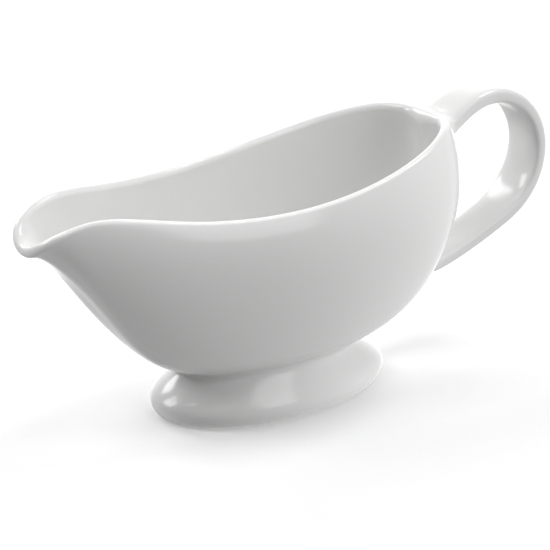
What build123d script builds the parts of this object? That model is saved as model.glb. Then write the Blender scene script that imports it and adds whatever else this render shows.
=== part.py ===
"""Gravy boat in white glazed porcelain: a cast bowl with its spout, a hollow foot and a strap handle.

The three clay pieces are stuck together with slip before firing.  Millimetres, +X from spout to
handle, +Z up, origin on the table under the middle of the overall length; both sides are alike.
"""
from build123d import *
import os
from math import cos, pi, sin

# ---- driving dimensions ----
wall = 4.0  # thickness of the bowl, and of its rounded lip

# Lip line: where the outside of the bowl reaches the lip, as the eight control points of a closed
# curve, from the tip of the spout round one side to the back.
lip_line = [
    (-115.5, 0.0, 73.6),  # tip of the spout, dipping to pour
    (-114.0, 14.5, 82.0),
    (-99.0, 18.0, 92.5),  # hump where the spout leaves the bowl
    (-64.0, 30.0, 83.5),
    (-14.5, 40.5, 83.0),  # amidships, the lowest stretch of the side
    (33.0, 36.5, 93.0),
    (59.5, 20.0, 100.0),
    (66.0, 0.0, 96.0),  # back, where the handle starts
]

foot_middle = -14.5  # the bowl stands ahead of the middle, to balance the handle
keel_length, keel_width, keel_height = 56.0, 38.0, 15.0  # oval from which the sides rise

# The sides pass three levels between the keel and the lip.  At each, the share of the way out and
# the share of the way up that the wall has come, at the (spout, side, back) of the bowl.
share_out = [(0.31, 0.39, 0.56), (0.53, 0.80, 0.97), (0.85, 1.30, 1.18)]
share_up = [(0.08, 0.11, 0.13), (0.41, 0.16, 0.29), (1.01, 0.78, 0.71)]

foot_length, foot_width, foot_widest = 100.5, 60.5, 5.5  # widest part of the foot, and its height
foot_edge = 4.2  # radius under the foot's edge
waist_length, waist_width, waist_height = 73.0, 49.5, 19.0  # narrowest part of the foot
foot_wall = 5.0  # thickness of the foot's skirt
foot_top = 26.0  # the skirt is made this tall, then trimmed to the bowl

# Centre line of the handle in the XZ plane, from inside the lip at the back to inside the belly.
handle_line = [
    (59.0, 89.0), (67.5, 94.5), (80.0, 101.0), (94.5, 101.5), (106.5, 94.5), (113.5, 82.0),
    (112.5, 67.5), (104.5, 56.0), (92.0, 48.5), (79.0, 43.0), (67.5, 39.0), (58.5, 37.0), (47.5, 36.5),
]
strap_widths = [21.0, 18.0, 18.5, 19.5, 19.0, 19.0]  # evenly spaced along the handle
strap_thick_top, strap_thick_end = 7.0, 6.0
strap_sections = 15


def blend_weights(t):
    """Uniform cubic B-spline weights of four neighbouring control points."""
    return [(1 - t) ** 3 / 6, (3 * t**3 - 6 * t**2 + 4) / 6,
            (-3 * t**3 + 3 * t**2 + 3 * t + 1) / 6, t**3 / 6]


def clamped_weights(v, count, degree=3):
    """Weights of `count` control points at v = 0..1, on a clamped B-spline with even knots."""
    spans = count - degree
    knots = [0.0] * degree + [i / spans for i in range(spans + 1)] + [1.0] * degree
    v = min(v, 1 - 1e-9)
    weights = [1.0 if knots[i] <= v < knots[i + 1] else 0.0 for i in range(len(knots) - 1)]
    for d in range(1, degree + 1):
        for i in range(len(knots) - 1 - d):
            left = knots[i + d] - knots[i]
            right = knots[i + d + 1] - knots[i + 1]
            weights[i] = ((v - knots[i]) / left * weights[i] if left else 0.0) + (
                (knots[i + d + 1] - v) / right * weights[i + 1] if right else 0.0)
    return weights[:count]


def control_rows():
    """Control points of the bowl's outside: closed rings, from inside the keel up to the lip."""
    last = len(lip_line) - 1
    # a closed cubic runs inside its control polygon by this much
    pull = (2 + cos(pi / last)) / 3
    rows = [[] for _ in range(len(share_out) + 3)]
    for i, lip in enumerate(lip_line):
        turn = pi * i / last
        spout = max(-cos(turn + pi), 0) ** 2
        back = max(-cos(turn), 0) ** 2
        side = sin(turn) ** 2
        half_length, half_width = keel_length / 2 / pull, keel_width / 2 / pull
        out_x, out_y = -half_length * cos(turn), half_width * sin(turn)
        keel = (foot_middle + out_x, out_y, keel_height)
        rows[0].append(Vector(foot_middle + 0.4 * out_x, 0.4 * out_y, keel_height))
        rows[1].append(Vector(*keel))
        for level, (out, up) in enumerate(zip(share_out, share_up), start=2):
            o = out[0] * spout + out[1] * side + out[2] * back
            h = up[0] * spout + up[1] * side + up[2] * back
            rows[level].append(Vector(*[a + (b - a) * s for a, b, s in zip(keel, lip, (o, o, h))]))
        rows[-1].append(Vector(*lip))
    return [row + [Vector(p.X, -p.Y, p.Z) for p in row[-2:0:-1]] for row in rows]


rows = control_rows()
stations = len(rows[0])
row_places = [0, 1 / 9, 1 / 3, 2 / 3, 8 / 9, 1]  # where up the wall each row pulls hardest


def hull(u, v):
    """Point on the bowl's outside: u counts control points round it, v runs from keel to lip."""
    first = int(u // 1)
    point = Vector(0, 0, 0)
    for row, weight in zip(rows, clamped_weights(v, len(rows))):
        for k, share in enumerate(blend_weights(u - first)):
            point += row[(first - 1 + k) % stations] * (weight * share)
    return point


def outward(u, v, step=1e-4):
    """Unit normal of the outside."""
    up = hull(u, min(v + step, 1)) - hull(u, max(v - step, 0))
    along = hull(u + step, v) - hull(u - step, v)
    return up.cross(along).normalized()


def mix(a, b, share):
    """The ring of points part of the way from ring a to ring b."""
    return [p + (q - p) * share for p, q in zip(a, b)]


def split_rows(c):
    """The same wall as three bands of four Bezier rows; neighbouring bands share a row."""
    r1, r2 = mix(c[1], c[2], 1 / 2), mix(c[2], c[3], 1 / 3)
    r3, r4 = mix(c[2], c[3], 2 / 3), mix(c[3], c[4], 1 / 2)
    return [c[0], c[1], r1, mix(r1, r2, 1 / 2), r2, r3, mix(r3, r4, 1 / 2), r4, c[4], c[5]]


def span(row, i):
    """Four Bezier points of a closed ring's curve between stations i and i + 1."""
    a, b, c, d = [row[(i + k) % stations] for k in (-1, 0, 1, 2)]
    return [(a + b * 4 + c) / 6, (b * 2 + c) / 3, (b + c * 2) / 3, (b + c * 4 + d) / 6]


def flat_face(row):
    """The flat disc inside a level ring."""
    with BuildLine() as edge:
        for i in range(stations):
            Bezier(*span(row, i))
    return Face(edge.wire())


inner_rows = [[p - outward(i, v) * wall for i, p in enumerate(row)] for row, v in zip(rows, row_places)]
lip_pull = wall * 2 / 3  # how far the Bezier points of a half round stand above its ends
lip_up = [(top - below).normalized() * lip_pull for top, below in zip(rows[-1], rows[-2])]
lip_rows = [[p + up for p, up in zip(edge, lip_up)] for edge in (rows[-1], inner_rows[-1])]
skin = split_rows(rows) + lip_rows + split_rows(inner_rows)[::-1]

with BuildPart() as bowl:
    patches = [
        Face.make_bezier_surface([span(row, i) for row in skin[band : band + 4]])
        for band in range(0, len(skin) - 1, 3)
        for i in range(stations)
    ]
    add(Solid(Shell(patches + [flat_face(skin[0]), flat_face(skin[-1])])))
bowl.part.label = "bowl"


def largest(part):
    """What is left of a piece outside the bowl, without the scraps inside it."""
    return part.solids().sort_by(SortBy.VOLUME)[-1]


def oval(length, width):
    """An ellipse drawn under the bowl in the current sketch."""
    with Locations((foot_middle, 0)):
        Ellipse(length / 2, width / 2)


# The foot: a round-edged base, a skirt that sweeps in and up to the waist, and the hollow under it.
base_length, base_width = foot_length - 2 * foot_edge, foot_width - 2 * foot_edge  # where it stands
skirt_steps = 8
with BuildPart() as foot:
    with BuildSketch(Plane.XY):
        oval(foot_length, foot_width)
    extrude(amount=foot_widest)
    fillet(foot.edges().group_by(Axis.Z)[0], radius=foot_edge)
    for step in range(skirt_steps + 1):
        rise = step / skirt_steps
        flare = (1 - rise**1.8) ** 1.67
        with BuildSketch(Plane.XY.offset(foot_widest + (waist_height - foot_widest) * rise)):
            oval(
                waist_length + (foot_length - waist_length) * flare,
                waist_width + (foot_width - waist_width) * flare,
            )
    loft()
    with BuildSketch(Plane.XY.offset(waist_height)):
        oval(waist_length, waist_width)
    extrude(amount=foot_top - waist_height)
    with BuildSketch(Plane.XY):
        oval(base_length - 2 * foot_wall, base_width - 2 * foot_wall)
    with BuildSketch(Plane.XY.offset(foot_top)):
        oval(waist_length - 2 * foot_wall, waist_width - 2 * foot_wall)
    loft(mode=Mode.SUBTRACT)
    add(bowl.part, mode=Mode.SUBTRACT)
    add(largest(foot.part), mode=Mode.REPLACE)
foot.part.label = "foot"

# The handle: a flat strap along its centre line, trimmed to the outside of the bowl.
with BuildLine(Plane.XZ) as centre_line:
    Spline(*handle_line)
strap_path = centre_line.line
with BuildPart() as handle:
    for section in range(strap_sections):
        along = section / (strap_sections - 1)
        place = along * (len(strap_widths) - 1)
        first = min(int(place), len(strap_widths) - 2)
        width = strap_widths[first] + (strap_widths[first + 1] - strap_widths[first]) * (place - first)
        thickness = strap_thick_top + (strap_thick_end - strap_thick_top) * along
        with BuildSketch(Plane(strap_path @ along, x_dir=(0, 1, 0), z_dir=strap_path % along)):
            RectangleRounded(width, thickness, 0.42 * thickness)
    loft()
    add(bowl.part, mode=Mode.SUBTRACT)
    add(largest(handle.part), mode=Mode.REPLACE)
handle.part.label = "handle"

os.makedirs("parts", exist_ok=True)
export_step(bowl.part, "parts/bowl.step")
export_step(foot.part, "parts/foot.step")
export_step(handle.part, "parts/handle.step")
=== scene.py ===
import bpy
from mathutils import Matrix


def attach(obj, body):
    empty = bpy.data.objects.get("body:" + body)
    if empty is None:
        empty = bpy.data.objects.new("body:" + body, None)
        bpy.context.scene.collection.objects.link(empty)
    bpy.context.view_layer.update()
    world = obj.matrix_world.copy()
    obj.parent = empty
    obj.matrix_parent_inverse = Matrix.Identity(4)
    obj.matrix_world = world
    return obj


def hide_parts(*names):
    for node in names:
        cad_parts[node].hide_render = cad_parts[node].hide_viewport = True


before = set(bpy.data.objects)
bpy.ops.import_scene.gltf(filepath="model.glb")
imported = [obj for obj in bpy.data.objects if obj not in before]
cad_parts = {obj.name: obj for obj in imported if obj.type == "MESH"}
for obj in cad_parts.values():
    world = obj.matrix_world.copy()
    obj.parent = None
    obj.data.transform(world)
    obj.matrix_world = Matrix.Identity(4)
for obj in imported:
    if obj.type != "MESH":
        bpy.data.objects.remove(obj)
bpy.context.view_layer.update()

from math import cos, pi, radians, sin

import bpy
import numpy as np
from mathutils import Vector

MM = 0.001  # the boat's own sizes below are in millimetres

# ---- the bowl ----
wall = 4.0
lip_swell = [(1.2, 0.85), (2.2, 0.42)]  # (extra thickness, reach in stations) of the lip at the back
lip_line = np.array([  # from the tip of the spout round one side to the back
    (-115.5, 0.0, 73.6), (-114.0, 14.5, 82.0), (-99.0, 18.0, 92.5), (-64.0, 30.0, 83.5),
    (-14.5, 40.5, 83.0), (33.0, 36.5, 93.0), (59.5, 20.0, 100.0), (66.0, 0.0, 96.0),
])
foot_middle = -14.5  # the bowl and the foot stand ahead of the middle of the overall length
keel_length, keel_width, keel_height = 56.0, 38.0, 15.0
# at three levels between keel and lip, the share of the way out and up at the (spout, side, back)
share_out = [(0.31, 0.39, 0.56), (0.53, 0.80, 0.97), (0.85, 1.30, 1.18)]
share_up = [(0.08, 0.11, 0.13), (0.41, 0.16, 0.29), (1.01, 0.78, 0.71)]

# ---- the foot ----
foot_length, foot_width, foot_widest = 100.5, 60.5, 5.5
foot_edge = 4.2  # radius under the foot's edge
waist_length, waist_width, waist_height = 73.0, 49.5, 19.0
foot_wall, foot_top = 5.0, 26.0
ring_bevel = 0.8  # radius between the hollow and the flat ring the boat stands on
skirt_blend = (2.6, 3.0)  # how far the fillet under the bowl reaches down the skirt, and up the bowl
hollow_blend = (1.8, 2.2)  # the same inside the hollow

# ---- the handle: its centre line in the XZ plane, and its section along it ----
handle_line = np.array([
    (59.0, 89.0), (67.5, 94.5), (80.0, 101.0), (94.5, 101.5), (106.5, 94.5), (113.5, 82.0),
    (112.5, 67.5), (104.5, 56.0), (92.0, 48.5), (79.0, 43.0), (67.5, 39.0), (58.5, 37.0),
    (47.5, 36.5),
])
strap_widths = [21.0, 18.0, 18.5, 19.5, 19.0, 19.0]
strap_thick_top, strap_thick_end = 7.0, 6.0
strap_squareness = 3.8  # exponent of the superellipse that is the strap's section
strap_start, strap_stop = 11.0, 13.0  # where its fillets begin, in from the two ends of the line
root_half_height = 7.5  # half the height of the ovals that the two ends spread to on the bowl
top_root_half_width, top_root_below_lip = 0.62, 5.0  # the first in stations round the lip
low_root_half_width, low_root_rise = 11.6, 0.56  # the second as a share of the wall, keel to lip

# ---- how the pieces join ----
blend_pull = 0.42  # how far a fillet's handles reach across its gap
blend_sink = 0.12  # how far a fillet's edge goes into the bowl's skin
root_depth = 1.3  # how far a closed end goes into the bowl's wall


# ---- the bowl's outside as a formula: closed cubic round it, clamped cubic up it ----
def around_weights(u, count):
    """Weights and slopes of a closed uniform cubic spline at u, one row for each u."""
    first = np.floor(u).astype(int)
    t = u - first
    w = [
        (1 - t) ** 3 / 6, (3 * t**3 - 6 * t**2 + 4) / 6,
        (-3 * t**3 + 3 * t**2 + 3 * t + 1) / 6, t**3 / 6,
    ]
    d = [-((1 - t) ** 2) / 2, (9 * t * t - 12 * t) / 6, (-9 * t * t + 6 * t + 3) / 6, t * t / 2]
    value, slope = np.zeros((len(u), count)), np.zeros((len(u), count))
    for k in range(4):
        place = (first - 1 + k) % count
        np.add.at(value, (np.arange(len(u)), place), w[k])
        np.add.at(slope, (np.arange(len(u)), place), d[k])
    return value, slope


def basis(knots, degree, count, v):
    """B-spline basis values at v, one row for each v."""
    v = np.clip(v, knots[0], knots[-1] - 1e-9)
    b = [((knots[i] <= v) & (v < knots[i + 1])).astype(float) for i in range(len(knots) - 1)]
    for d in range(1, degree + 1):
        for i in range(len(knots) - 1 - d):
            left, right = knots[i + d] - knots[i], knots[i + d + 1] - knots[i + 1]
            low = (v - knots[i]) / left * b[i] if left else 0.0
            high = (knots[i + d + 1] - v) / right * b[i + 1] if right else 0.0
            b[i] = low + high
    return np.stack(b[:count], 1)


def up_weights(v, count):
    """Weights and slopes of a clamped cubic spline with even knots at v = 0..1."""
    spans = count - 3
    knots = np.r_[[0.0] * 3, np.linspace(0, 1, spans + 1), [1.0] * 3]
    value = basis(knots, 3, count, v)
    lower = basis(knots[1:-1], 2, count - 1, v)
    slope = np.zeros_like(value)
    for i in range(count - 1):
        step = 3 * lower[:, i] / (knots[i + 4] - knots[i + 1])
        slope[:, i] -= step
        slope[:, i + 1] += step
    return value, slope


def control_rows():
    """Control points of the bowl's outside, rows from inside the keel up to the lip."""
    last = len(lip_line) - 1
    turn = pi * np.arange(last + 1) / last
    pull = (2 + cos(pi / last)) / 3  # a closed cubic runs inside its control polygon by this much
    spout = np.maximum(np.cos(turn), 0) ** 2
    back = np.maximum(-np.cos(turn), 0) ** 2
    side = np.sin(turn) ** 2
    out_x = -keel_length / 2 / pull * np.cos(turn)
    out_y = keel_width / 2 / pull * np.sin(turn)
    level = np.full(last + 1, keel_height)
    keel = np.stack([foot_middle + out_x, out_y, level], 1)
    rows = [np.stack([foot_middle + 0.4 * out_x, 0.4 * out_y, level], 1), keel]
    for out, up in zip(share_out, share_up):
        o = out[0] * spout + out[1] * side + out[2] * back
        h = up[0] * spout + up[1] * side + up[2] * back
        rows.append(keel + (lip_line - keel) * np.stack([o, o, h], 1))
    rows.append(lip_line)
    mirrored = [np.vstack([row, row[-2:0:-1] * (1, -1, 1)]) for row in rows]
    return np.stack(mirrored)


hull_net = control_rows()
stations = hull_net.shape[1]


def hull(u, v):
    """Points, outward normals, directions up the wall, and slopes round and up, at arrays u and v."""
    wu, du = around_weights(u, stations)
    wv, dv = up_weights(v, len(hull_net))
    point = np.einsum("ni,nj,ijc->nc", wv, wu, hull_net)
    along = np.einsum("ni,nj,ijc->nc", wv, du, hull_net)
    up = np.einsum("ni,nj,ijc->nc", dv, wu, hull_net)
    normal = np.cross(up, along)
    normal /= np.linalg.norm(normal, axis=1, keepdims=True)
    return point, normal, up / np.linalg.norm(up, axis=1, keepdims=True), along, up


def smooth(x, low, high):
    """0 below low, 1 above high, and an even rise between."""
    t = np.clip((x - low) / (high - low), 0, 1)
    return t * t * (3 - 2 * t)


# ---- meshes ----
def mesh_object(name, points, faces):
    """A smooth-shaded piece from points in millimetres."""
    mesh = bpy.data.meshes.new(name)
    mesh.from_pydata([tuple(p * MM) for p in points], [], faces)
    mesh.validate()
    mesh.update()
    mesh.polygons.foreach_set("use_smooth", [True] * len(mesh.polygons))
    piece = bpy.data.objects.new(name, mesh)
    bpy.context.scene.collection.objects.link(piece)
    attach(piece, "root")
    return piece


def ring_faces(rings, count):
    """Quads between neighbouring closed rings of count points each."""
    return [
        (r * count + i, r * count + (i + 1) % count,
         (r + 1) * count + (i + 1) % count, (r + 1) * count + i)
        for r in range(rings - 1)
        for i in range(count)
    ]


def lip_thickness(u):
    """The lip is thicker at the back, where the handle is stuck on."""
    off = np.abs(u - stations / 2)
    return wall + sum(extra * np.exp(-((off / reach) ** 2)) for extra, reach in lip_swell)


around_count = 16 * stations
wall_rings, lip_rings = 72, 14
swell_start = 0.55  # share of the way up the wall where the thicker lip begins


def bowl_piece():
    """Rings up the outside, over the lip and down the inside, then the flat of the bottom."""
    u = np.arange(around_count) * stations / around_count
    ups = np.linspace(0, 1, wall_rings)

    def thickness(v):
        return wall + (lip_thickness(u) - wall) * smooth(v, swell_start, 1.0)

    rings = [hull(u, np.full(around_count, v))[0] for v in ups]
    point, normal, up, _, _ = hull(u, np.ones(around_count))
    half = (thickness(1.0) / 2)[:, None]
    for a in np.linspace(0, pi, lip_rings)[1:-1]:
        rings.append(point - normal * half + half * (cos(a) * normal + sin(a) * up))
    for v in ups[::-1]:
        point, normal = hull(u, np.full(around_count, v))[:2]
        rings.append(point - normal * thickness(v)[:, None])
    points = list(np.vstack(rings))
    faces = ring_faces(len(rings), around_count)
    # the flat middle of the bottom, outside and inside
    for edge_ring, flip in ((0, True), (len(rings) - 1, False)):
        base = rings[edge_ring]
        middle = base.mean(0)
        previous = [edge_ring * around_count + i for i in range(around_count)]
        for share in (0.75, 0.5, 0.25):
            current = list(range(len(points), len(points) + around_count))
            points.extend(middle + (base - middle) * share)
            for i in range(around_count):
                k = (i + 1) % around_count
                quad = (previous[i], previous[k], current[k], current[i])
                faces.append(quad[::-1] if flip else quad)
            previous = current
        points.append(middle)
        for i in range(around_count):
            tri = (previous[i], previous[(i + 1) % around_count], len(points) - 1)
            faces.append(tri[::-1] if flip else tri)
    return mesh_object("bowl_shell", points, [f[::-1] for f in faces])


def under(x, y):
    """Where the bowl's underside stands over points of the plan, as u and v, by Newton's steps."""
    u = (stations / (2 * pi) * np.arctan2(y / keel_width, -(x - foot_middle) / keel_length)) % stations
    v = np.full(len(x), 0.25)
    for _ in range(12):
        at, _, _, du, dv = hull(u, v)
        gap_x, gap_y = x - at[:, 0], y - at[:, 1]
        det = du[:, 0] * dv[:, 1] - du[:, 1] * dv[:, 0]
        u = (u + np.clip((gap_x * dv[:, 1] - gap_y * dv[:, 0]) / det, -0.5, 0.5)) % stations
        v = np.clip(v + np.clip((gap_y * du[:, 0] - gap_x * du[:, 1]) / det, -0.1, 0.1), 0.01, 0.7)
    return u, v


def skin(u, height):
    """Points and outward normals of the bowl round the lip.  The height in mm runs down the outside
    wall below the lip where it is negative, and over the rounded lip where it is positive."""
    v = np.ones(len(u))
    for _ in range(3):
        v = 1 + np.minimum(height, 0.0) / np.linalg.norm(hull(u, (1 + v) / 2)[4], axis=1)
    point, normal, up, _, _ = hull(u, v)
    half = lip_thickness(u)[:, None] / 2
    turn = np.maximum(height, 0.0)[:, None] / half
    over = np.cos(turn) * normal + np.sin(turn) * up
    return point + half * (over - normal), over


def blend_rings(start, leave, mark, normal, rounds):
    """Rings from an open end to its mark on the bowl, leaving and arriving without a crease."""
    gap = np.linalg.norm(mark - start, axis=1)[:, None]
    arrive = (start - mark) - ((start - mark) * normal).sum(1)[:, None] * normal
    arrive /= np.linalg.norm(arrive, axis=1)[:, None]
    first, second = start + leave * gap * blend_pull, mark + arrive * gap * blend_pull
    rings = []
    for t in np.linspace(0, 1, rounds + 1)[1:]:
        ring = (1 - t) ** 3 * start + 3 * t * (1 - t) ** 2 * first
        ring += 3 * t * t * (1 - t) * second + t**3 * mark
        rings.append(ring - normal * blend_sink * t**4)
    return rings


def foot_piece():
    """Rings up the outside, across inside the bowl's wall, down the hollow and over the ring."""
    count = 208
    turn = 2 * pi * np.arange(count) / count

    def oval(length, width, height):
        level = np.broadcast_to(height, (count,))
        return np.stack([foot_middle + length / 2 * np.cos(turn), width / 2 * np.sin(turn), level], 1)

    def skirt(height):
        rise = np.clip((height - foot_widest) / (waist_height - foot_widest), 0, 1)
        flare = (1 - rise**1.8) ** 1.67
        return oval(
            waist_length + (foot_length - waist_length) * flare,
            waist_width + (foot_width - waist_width) * flare, height,
        )

    def hollow(height):
        share = height / foot_top
        low_length, low_width = (size - 2 * (foot_edge + foot_wall) for size in (foot_length, foot_width))
        top_length, top_width = waist_length - 2 * foot_wall, waist_width - 2 * foot_wall
        return oval(
            low_length + (top_length - low_length) * share,
            low_width + (top_width - low_width) * share, height,
        )

    def meets_bowl(side, outward, reach, seam):
        """Where a side of the foot reaches the bowl, the start of the blend there, and its mark."""
        low, high = np.full(count, 8.0), np.full(count, foot_top)
        for _ in range(30):
            middle = (low + high) / 2
            at = side(middle)
            u, v = under(at[:, 0], at[:, 1])
            above = hull(u, v)[0][:, 2] < middle
            low, high = np.where(above, low, middle), np.where(above, middle, high)
        start = low - reach
        leave = side(start + 0.05) - side(start - 0.05)
        leave /= np.linalg.norm(leave, axis=1)[:, None]
        v = v + outward * seam / np.linalg.norm(hull(u, v)[4], axis=1)
        return start, leave, hull(u, v)[0], hull(u, v)[1]

    rings = []
    for a in np.linspace(0, pi / 2, 12):  # round under the edge
        inset = 2 * foot_edge * (1 - sin(a))
        rings.append(oval(foot_length - inset, foot_width - inset, foot_widest * (1 - cos(a))))
    start, leave, mark, normal = meets_bowl(skirt, 1, *skirt_blend)
    for t in np.linspace(0, 1, 16)[1:]:
        rings.append(skirt(foot_widest + (start - foot_widest) * t))
    rings += blend_rings(rings[-1], leave, mark, normal, 10)
    rings.append(mark - normal * root_depth)
    start, leave, mark, normal = meets_bowl(hollow, -1, *hollow_blend)
    rings.append(mark - normal * root_depth)
    rings += blend_rings(hollow(start), leave, mark, normal, 8)[::-1]
    for t in np.linspace(1, 0, 9):
        rings.append(hollow(ring_bevel + (start - ring_bevel) * t))
    inside, outwards = hollow(0.0), np.stack([np.cos(turn), np.sin(turn), 0 * turn], 1)
    for a in np.linspace(0, pi / 2, 6)[1:]:
        out, up = ring_bevel * (1 - cos(a)), ring_bevel * (1 - sin(a))
        rings.append(inside + outwards * out + (0, 0, up))
    inner_edge = rings[-1]
    rings += [inner_edge + (rings[0] - inner_edge) * share for share in (0.1, 0.5, 0.9)]
    points = list(np.vstack(rings))
    faces = ring_faces(len(rings), count)
    last = (len(rings) - 1) * count
    faces += [(last + i, last + (i + 1) % count, (i + 1) % count, i) for i in range(count)]
    return mesh_object("foot_ring", points, faces)


def through(points, samples=4001):
    """A natural cubic spline through points: distances along it, points and directions."""
    chord = np.r_[0, np.cumsum(np.linalg.norm(np.diff(points, axis=0), axis=1))]
    n, h = len(points), np.diff(chord)
    matrix, right = np.eye(n), np.zeros_like(points)
    for i in range(1, n - 1):
        matrix[i, i - 1 : i + 2] = h[i - 1], 2 * (h[i - 1] + h[i]), h[i]
        right[i] = 6 * ((points[i + 1] - points[i]) / h[i] - (points[i] - points[i - 1]) / h[i - 1])
    bend = np.linalg.solve(matrix, right)
    t = np.linspace(0, chord[-1], samples)
    k = np.clip(np.searchsorted(chord, t) - 1, 0, n - 2)
    a, b, w = (chord[k + 1] - t)[:, None], (t - chord[k])[:, None], h[k][:, None]
    line = (bend[k] * a**3 + bend[k + 1] * b**3) / (6 * w)
    line += (points[k] / w - bend[k] * w / 6) * a + (points[k + 1] / w - bend[k + 1] * w / 6) * b
    run = np.r_[0, np.cumsum(np.linalg.norm(np.diff(line, axis=0), axis=1))]
    heading = np.gradient(line, axis=0)
    return run, line, heading / np.linalg.norm(heading, axis=1)[:, None]


def handle_piece():
    """Rings along the strap, spread at both ends into ovals on the bowl."""
    run, line, heading = through(handle_line)
    count, length = 80, run[-1]
    turn = 2 * pi * np.arange(count) / count
    # round the section, from -1 to 1 across the strap and through its thickness
    across = np.sign(np.sin(turn)) * np.abs(np.sin(turn)) ** (2 / strap_squareness)
    thick = np.sign(np.cos(turn)) * np.abs(np.cos(turn)) ** (2 / strap_squareness)

    def strap(distance):
        x, z = (np.interp(distance, run, line[:, c]) for c in (0, 1))
        dx, dz = (np.interp(distance, run, heading[:, c]) for c in (0, 1))
        share = distance / length
        width = np.interp(share, np.linspace(0, 1, len(strap_widths)), strap_widths)
        depth = strap_thick_top + (strap_thick_end - strap_thick_top) * share
        ring = np.array([x, 0, z]) + np.outer(thick * depth / 2, (-dz, 0, dx))
        return ring + np.outer(across * width / 2, (0, 1, 0)), np.tile((dx, 0, dz), (count, 1))

    def top_mark(share):
        """The oval the strap spreads to at the back of the lip, and smaller ones inside it."""
        u = stations / 2 - across * top_root_half_width * share
        return skin(u, -top_root_below_lip + thick * root_half_height * share)

    def low_mark(share):
        """The same on the belly."""
        centre = hull(np.array([stations / 2]), np.array([low_root_rise]))
        span_u, span_v = np.linalg.norm(centre[3]), np.linalg.norm(centre[4])
        u = stations / 2 - across * low_root_half_width / span_u * share
        return hull(u, low_root_rise + thick * root_half_height / span_v * share)[:2]

    start, end = strap_start, length - strap_stop
    top, low = strap(start), strap(end)
    rings = blend_rings(top[0], -top[1], *top_mark(1), 14)[::-1]
    rings += [strap(d)[0] for d in np.linspace(start, end, 170)]
    rings += blend_rings(low[0], low[1], *low_mark(1), 14)
    for share in (0.985, 0.6, 0.25, 0.0):  # both ends are closed inside the bowl's wall
        for mark, place in ((top_mark, 0), (low_mark, len(rings))):
            point, normal = mark(share)
            rings.insert(place, point - normal * root_depth)
    middles = [rings.pop(0)[0], rings.pop()[0]]
    points = list(np.vstack(rings)) + middles
    faces = ring_faces(len(rings), count)
    last = (len(rings) - 1) * count
    for i in range(count):
        k = (i + 1) % count
        faces += [(k, i, len(points) - 2), (last + i, last + k, len(points) - 1)]
    return mesh_object("strap_handle", points, [f[::-1] for f in faces])


# ---- glazed porcelain ----
def porcelain(name, bare_below=None):
    """White porcelain under a clear glaze, uneven the way a fired glaze is.  Below bare_below (mm)
    the clay is left bare."""
    material = bpy.data.materials.new(name)
    material.use_nodes = True
    nodes, links = material.node_tree.nodes, material.node_tree.links
    shader = nodes["Principled BSDF"]
    place = nodes.new("ShaderNodeTexCoord")

    def noise(scale, detail):
        node = nodes.new("ShaderNodeTexNoise")
        node.inputs["Scale"].default_value = scale
        node.inputs["Detail"].default_value = detail
        links.new(place.outputs["Object"], node.inputs["Vector"])
        return node.outputs["Fac"]

    def ramp(value, low, high, out_low, out_high):
        node = nodes.new("ShaderNodeMapRange")
        for socket, number in zip(node.inputs[1:5], (low, high, out_low, out_high)):
            socket.default_value = number
        links.new(value, node.inputs["Value"])
        return node.outputs["Result"]

    def mix(kind, factor, a, b):
        node = nodes.new("ShaderNodeMix")
        node.data_type = kind
        sockets = [s for s in node.inputs if s.enabled]
        links.new(factor, sockets[0])
        for socket, side in zip(sockets[1:], (a, b)):
            if isinstance(side, bpy.types.NodeSocket):
                links.new(side, socket)
            else:
                socket.default_value = side
        return [s for s in node.outputs if s.enabled][0]

    clouds = ramp(noise(14.0, 3.0), 0.35, 0.65, 0, 1)
    body = mix("RGBA", clouds, (0.815, 0.815, 0.81, 1), (0.835, 0.835, 0.832, 1))
    rough = ramp(noise(45.0, 4.0), 0.3, 0.7, 0.11, 0.17)
    if bare_below is not None:
        split = nodes.new("ShaderNodeSeparateXYZ")
        links.new(place.outputs["Object"], split.inputs["Vector"])
        bare = ramp(split.outputs["Z"], (bare_below - 0.15) * MM, (bare_below + 0.15) * MM, 1.0, 0.0)
        grit = ramp(noise(900.0, 5.0), 0.35, 0.65, 0, 1)
        grain = mix("RGBA", grit, (0.70, 0.69, 0.67, 1), (0.76, 0.75, 0.73, 1))
        body = mix("RGBA", bare, body, grain)
        rough = mix("FLOAT", bare, rough, 0.75)
    links.new(body, shader.inputs["Base Color"])
    links.new(rough, shader.inputs["Roughness"])
    shader.inputs["IOR"].default_value = 1.5
    ripple = nodes.new("ShaderNodeBump")
    ripple.inputs["Strength"].default_value = 0.10
    ripple.inputs["Distance"].default_value = 0.0004
    links.new(noise(60.0, 2.0), ripple.inputs["Height"])
    links.new(ripple.outputs["Normal"], shader.inputs["Normal"])
    return material


bowl = bowl_piece()
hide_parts("bowl")
foot = foot_piece()
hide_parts("foot")
handle = handle_piece()
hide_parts("handle")
bowl.data.materials.append(porcelain("porcelain"))
foot.data.materials.append(porcelain("porcelain_foot", bare_below=0.3))
handle.data.materials.append(porcelain("porcelain_handle"))

# ---- camera, floor and light ----
view_azimuth, view_elevation, view_distance = radians(-34.45), radians(21.16), 0.6518
looked_at = Vector((-0.0145, 0.0, 0.050))
aim = Vector((-0.01315, -0.00207, 0.04758))
away = Vector((
    sin(view_azimuth) * cos(view_elevation),
    -cos(view_azimuth) * cos(view_elevation),
    sin(view_elevation),
))
camera_data = bpy.data.cameras.new("camera")
camera_data.lens, camera_data.sensor_width = 113.15, 36.0
camera = bpy.data.objects.new("camera", camera_data)
camera.location = looked_at + away * view_distance
camera.rotation_euler = (aim - camera.location).to_track_quat("-Z", "Y").to_euler()
bpy.context.scene.collection.objects.link(camera)
bpy.context.scene.camera = camera
bpy.context.scene.view_settings.view_transform = "Standard"

toward = Vector((sin(view_azimuth), -cos(view_azimuth), 0.0))  # from the boat to the camera, level
rightward = Vector((cos(view_azimuth), sin(view_azimuth), 0.0))


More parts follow.
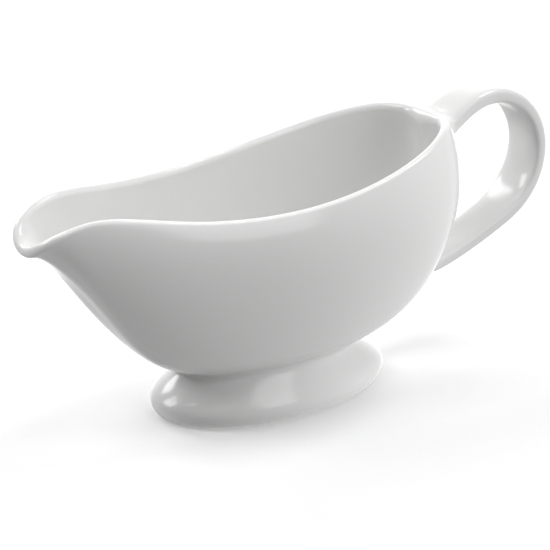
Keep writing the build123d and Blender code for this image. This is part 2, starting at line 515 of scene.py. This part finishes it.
def bearing(turn, rise):
    """Direction turned to the right from the camera's side of the boat, and raised."""
    level = toward * cos(radians(turn)) + rightward * sin(radians(turn))
    return level * cos(radians(rise)) + Vector((0, 0, sin(radians(rise))))


# the room: wide glows, each being (turn, rise, focus, strength)
glows = [
    (90, 5, 5, 1.07), (45, 5, 5, 0.34), (180, 5, 5, 2.5),
    (90, -40, 5, 0.63), (135, -40, 5, 0.72), (270, -40, 5, 1.33),
]
world = bpy.data.worlds.new("studio")
world.use_nodes = True
room, room_links = world.node_tree.nodes, world.node_tree.links
look_way = room.new("ShaderNodeTexCoord").outputs["Generated"]
total = None
for turn, rise, focus, strength in glows:
    facing = room.new("ShaderNodeVectorMath")
    facing.operation = "DOT_PRODUCT"
    facing.inputs[1].default_value = bearing(turn, rise)
    room_links.new(look_way, facing.inputs[0])
    value = facing.outputs["Value"]
    for operation, number in (("MAXIMUM", 0.0), ("POWER", focus), ("MULTIPLY", strength)):
        step = room.new("ShaderNodeMath")
        step.operation = operation
        step.inputs[1].default_value = number
        room_links.new(value, step.inputs[0])
        value = step.outputs["Value"]
    if total is not None:
        step = room.new("ShaderNodeMath")
        room_links.new(total, step.inputs[0])
        room_links.new(value, step.inputs[1])
        value = step.outputs["Value"]
    total = value
room_links.new(total, room["Background"].inputs["Color"])
bpy.context.scene.world = world

# soft boxes all round, each (name, turn, rise, width, height, power)
lamp_distance = 3.0
for name, turn, rise, width, height, power in [
    ("front_right_low", 45, 15, 1.1, 1.1, 9.1),
    ("front_right", 45, 35, 1.1, 1.1, 8.0),
    ("right_high", 60, 60, 1.1, 1.1, 10.5),
    ("back_right_high", 120, 60, 1.1, 1.1, 28.0),
    ("left_high", 300, 60, 1.1, 1.1, 21.0),
    ("left", 270, 35, 1.1, 1.1, 25.5),
    ("back_left", 225, 35, 1.1, 1.1, 26.0),
    ("window_strip", 30, 32, 0.3, 1.5, 2.6),
    ("front", 0, 35, 1.1, 1.1, 2.1),
]:
    light = bpy.data.lights.new(name, "AREA")
    light.shape = "RECTANGLE"
    light.size, light.size_y, light.energy = width, height, power
    lamp = bpy.data.objects.new(name, light)
    lamp.location = Vector((-0.01, 0, 0.05)) + bearing(turn, rise) * lamp_distance
    lamp.rotation_euler = (-bearing(turn, rise)).to_track_quat("-Z", "Y").to_euler()
    bpy.context.scene.collection.objects.link(lamp)

floor_mesh = bpy.data.meshes.new("floor")
floor_mesh.from_pydata([(-4, -4, 0), (4, -4, 0), (4, 4, 0), (-4, 4, 0)], [], [(0, 1, 2, 3)])
floor = bpy.data.objects.new("floor", floor_mesh)
bpy.context.scene.collection.objects.link(floor)
# the floor is there to be seen and to take the shadow: it throws no light back up at the boat
floor.visible_diffuse = floor.visible_glossy = floor.visible_shadow = False
sweep = bpy.data.materials.new("white_sweep")
sweep.use_nodes = True
sweep_shader = sweep.node_tree.nodes["Principled BSDF"]
sweep_shader.inputs["Base Color"].default_value = (0.99, 0.99, 0.99, 1)
sweep_shader.inputs["Roughness"].default_value = 1.0
sweep_shader.inputs["Specular IOR Level"].default_value = 0.0
floor_mesh.materials.append(sweep)
